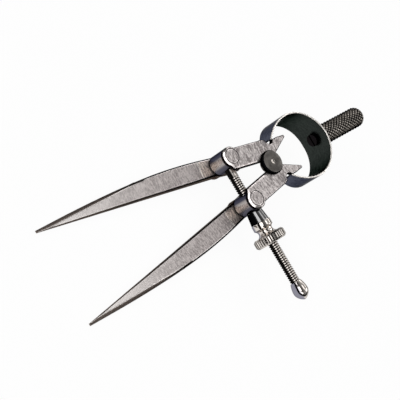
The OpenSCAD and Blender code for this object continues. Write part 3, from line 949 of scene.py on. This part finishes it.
class DIVIDERS_OT_nut(bpy.types.Operator):
    """Black thrust ferrule, and the nut with its collar, cove and grooved wheel"""

    bl_idname = "dividers.nut"
    bl_label = "Ferrule and nut"

    def execute(self, context):
        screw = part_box("adjusting_screw")
        middle = (screw[0] + screw[1]) / 2
        bore = (screw[1].z - screw[0].z) / 2 + 0.05 * MM
        self.ferrule(middle, bore)
        self.nut(middle, bore)
        return {"FINISHED"}

    def ferrule(self, middle, bore):
        size = sizes()
        low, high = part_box("thrust_ferrule")
        tall, wide = high.x - low.x, (high.z - low.z) / 2
        foot = size.ferrule_foot
        profile = [(0, bore), (0, foot), (tall, wide), (tall, bore), (0, bore)]
        start = Vector((low.x, middle.y, middle.z))
        piece = turned("black_ferrule", start, (1, 0, 0), profile, ROUND_STEPS)
        soften(piece, 0.25 * MM, 3)
        shade(piece)
        seat(piece, "right_swivel", "black_oxide",
             [black_enamel("black enamel"), black_oxide("black underside in painted shade", 0.4)],
             "thrust_ferrule")
        # painted shade: the underside takes dull black, the rest glossy enamel
        for face in piece.data.polygons:
            arm = face.center - middle
            face.material_index = int(low_side(arm, 0.6) > 0.5)

    def nut(self, middle, bore):
        size = sizes()
        low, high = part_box("adjusting_nut")
        tall, wide = high.x - low.x, (high.z - low.z) / 2
        wheel = tall - size.wheel_length
        cove = (wheel - size.collar_length) / 2
        shoulder = size.collar_radius - 0.3 * MM
        hollow = arc((size.collar_length + cove, size.neck_radius + cove), cove, 180, 360, 14)
        profile = [(0, bore), (0, size.collar_radius), (size.collar_length, size.collar_radius),
                   (size.collar_length, shoulder)] + hollow[1:-1] + [
            (wheel, shoulder), (wheel, wide - size.wheel_edge), (wheel + size.wheel_edge, wide),
            (tall - size.wheel_edge, wide), (tall, wide - size.wheel_edge), (tall, bore),
            (0, bore)]
        start = Vector((low.x, middle.y, middle.z))
        piece = turned("knurled_nut", start, (1, 0, 0), profile, size.grooves * 10)
        soften(piece, 0.12 * MM, 2)
        # radius on which the centres of the grooves lie, and the part of the wheel they reach
        far = wide + 0.12 * MM
        grip_radius = 0.8 * wide
        # painted shade on the underside of collar and neck, fainter on the wheel, and in the
        # wheel's grooves
        painted_light_and_shade = piece.data.attributes.new("painted_light_and_shade", "FLOAT", "POINT")
        for vertex in piece.data.vertices:
            arm = vertex.co - start
            out = math.hypot(arm.y, arm.z)
            on_wheel = arm.x > wheel - NEAR
            painted_shadow = 0.45 * low_side(arm, -0.2) if on_wheel else low_side(arm, 0.0)
            painted_light_and_shade.data[vertex.index].value = painted_shadow
            if not on_wheel or out < grip_radius:
                continue
            slice_angle = 2 * math.pi / size.grooves
            turn = (math.atan2(arm.y, arm.z) + slice_angle / 2) % slice_angle - slice_angle / 2
            across = far * math.sin(turn)
            if abs(across) >= size.groove_radius:
                continue
            floor = far * math.cos(turn) - math.sqrt(size.groove_radius ** 2 - across ** 2)
            if floor < out:
                deep = min(1.0, 1.4 * (wide - floor) / (0.3 * MM))
                painted_light_and_shade.data[vertex.index].value = max(deep, painted_shadow)
                vertex.co.y = start.y + arm.y * floor / out
                vertex.co.z = start.z + arm.z * floor / out
        shade(piece, 28)
        seat(piece, "nut", "bright_steel", [
            bright_steel("polished nut steel", start, (0.05, 0.12), colours().painted_shade),
            bright_steel("knurled wheel steel", start, (0.14, 0.24), None)], "adjusting_nut")
        for face in piece.data.polygons:
            arm = face.center - start
            grip = arm.x > wheel and math.hypot(arm.y, arm.z) > grip_radius
            face.material_index = int(grip)


class DIVIDERS_OT_stage(bpy.types.Operator):
    """White floor, soft studio light and the camera"""

    bl_idname = "dividers.stage"
    bl_label = "Stage"

    def execute(self, context):
        self.floor()
        self.world()
        self.lamps()
        self.camera()
        context.scene.view_settings.view_transform = "Standard"
        return {"FINISHED"}

    def floor(self):
        bpy.ops.object.select_all(action="DESELECT")
        # wide enough for its edge to lie on the horizon
        bpy.ops.mesh.primitive_plane_add(size=40, location=(0, 0, FLOOR_Z))
        floor = bpy.context.object
        floor.name = "floor"
        material, tree = blank("matt white board")
        path = add(tree, "ShaderNodeLightPath")
        seen = add(tree, "ShaderNodeMath", {"operation": "MAXIMUM"}, {
            0: path.outputs["Is Camera Ray"], 1: path.outputs["Is Glossy Ray"]})
        shown = add(tree, "ShaderNodeMath", {"operation": "MAXIMUM"}, {
            0: seen.outputs["Value"], 1: path.outputs["Is Transmission Ray"]})
        # most of the white is glow, and the rest takes the shadow
        share = add(tree, "ShaderNodeMath", {"operation": "MULTIPLY", 1: 0.94},
                    {0: shown.outputs["Value"]})
        matt = add(tree, "ShaderNodeBsdfDiffuse", {"Color": colours().floor})
        glow = add(tree, "ShaderNodeEmission", {"Color": colours().floor, "Strength": 1.0})
        mixed = add(tree, "ShaderNodeMixShader", links={
            0: share.outputs["Value"], 1: matt.outputs["BSDF"], 2: glow.outputs["Emission"]})
        add(tree, "ShaderNodeOutputMaterial", links={"Surface": mixed.outputs["Shader"]})
        floor.data.materials.append(material)

    def world(self):
        """A grey room, dark at the horizon and lightest where flat faces mirror it."""
        world = bpy.data.worlds.new("grey room")
        bpy.context.scene.world = world
        world.use_nodes = True
        tree = world.node_tree
        tree.nodes.clear()
        where = add(tree, "ShaderNodeTexCoord")
        parts = add(tree, "ShaderNodeSeparateXYZ", links={"Vector": where.outputs["Generated"]})
        front = spread(tree, parts.outputs["Y"], (-0.2, 0.4), (0.1, 0.45))
        height = spread(tree, parts.outputs["Z"], (0.25, 0.6), (0.06, 1.0))
        level = add(tree, "ShaderNodeMath", {"operation": "MULTIPLY"}, {0: front, 1: height})
        sky = add(tree, "ShaderNodeBackground", links={"Strength": level.outputs["Value"]})
        sky.inputs["Color"].default_value = (1.0, 0.99, 0.985, 1.0)
        add(tree, "ShaderNodeOutputWorld", links={"Surface": sky.outputs["Background"]})

    def lamps(self):
        """Soft boxes: name, direction to it in degrees, distance, width and height, radiance."""
        boxes = [
            ("key box", 186, 45, 0.9, 0.5, 0.5, 2.4),
            ("left box", 240, 35, 0.9, 0.7, 0.3, 2.2),
            ("right box", 136, 35, 0.9, 0.75, 0.3, 2.2),
            ("left edge box", 324, 30, 0.9, 0.35, 0.4, 2.6),
            ("right edge box", 34, 34, 0.9, 0.35, 0.4, 2.6),
            ("back box", 5, 26, 0.9, 1.0, 0.16, 2.0),
            ("top box", 0, 72, 0.9, 0.45, 0.24, 1.6),
        ]
        for name, turn, rise, far, wide, tall, radiance in boxes:
            lamp = bpy.data.lights.new(name, "AREA")
            lamp.shape = "RECTANGLE"
            lamp.size, lamp.size_y = wide, tall
            lamp.energy = radiance * math.pi * wide * tall
            turn, rise = math.radians(turn), math.radians(rise)
            way = Vector((math.sin(turn) * math.cos(rise), math.cos(turn) * math.cos(rise),
                          math.sin(rise)))
            stand = bpy.data.objects.new(name, lamp)
            stand.matrix_world = (Matrix.Translation(way * far)
                                  @ way.to_track_quat("Z", "Y").to_matrix().to_4x4())
            bpy.context.scene.collection.objects.link(stand)

    def camera(self):
        """The photograph's view: a 108 mm lens over a 36 mm square frame."""
        lens = bpy.data.cameras.new("view")
        lens.lens, lens.sensor_width = 108.0, 36.0
        camera = bpy.data.objects.new("view", lens)
        across = Vector((0.49968617, 0.67319155, 0.54509344))
        down = Vector((0.86500032, -0.35460346, -0.3550082))
        place = Vector((0.0196206, -0.318868, 0.329335))
        ahead = across.cross(down)
        view = Matrix((across, -down, -ahead)).transposed().to_4x4()
        roll = Matrix.Rotation(math.radians(-0.55), 4, "Z")
        camera.matrix_world = roll @ Matrix.Translation(place) @ view
        bpy.context.scene.collection.objects.link(camera)
        bpy.context.scene.camera = camera


STEPS = (
    DIVIDERS_OT_legs, DIVIDERS_OT_bow, DIVIDERS_OT_stud, DIVIDERS_OT_handle,
    DIVIDERS_OT_screw, DIVIDERS_OT_swivels, DIVIDERS_OT_nut, DIVIDERS_OT_stage)


class DIVIDERS_PT_panel(bpy.types.Panel):
    """Lists the building steps and their sizes and colours"""

    bl_idname = "DIVIDERS_PT_panel"
    bl_label = "Spring Dividers"
    bl_space_type = "VIEW_3D"
    bl_region_type = "UI"
    bl_category = "Dividers"

    def draw(self, context):
        for step in STEPS:
            self.layout.operator(step.bl_idname)
        for group in (sizes(), colours()):
            box = self.layout.box()
            for name in group.__annotations__:
                box.prop(group, name)


CLASSES = (DividerSizes, DividerColours) + STEPS + (DIVIDERS_PT_panel,)


def register():
    for cls in CLASSES:
        bpy.utils.register_class(cls)
    bpy.types.Scene.divider_sizes = bpy.props.PointerProperty(type=DividerSizes)
    bpy.types.Scene.divider_colours = bpy.props.PointerProperty(type=DividerColours)


def unregister():
    del bpy.types.Scene.divider_colours
    del bpy.types.Scene.divider_sizes
    for cls in reversed(CLASSES):
        bpy.utils.unregister_class(cls)


def main():
    register()
    bpy.ops.dividers.legs()
    bpy.ops.dividers.bow()
    bpy.ops.dividers.stud()
    bpy.ops.dividers.handle()
    bpy.ops.dividers.screw()
    bpy.ops.dividers.swivels()
    bpy.ops.dividers.nut()
    bpy.ops.dividers.stage()


if __name__ == "__main__":
    main()
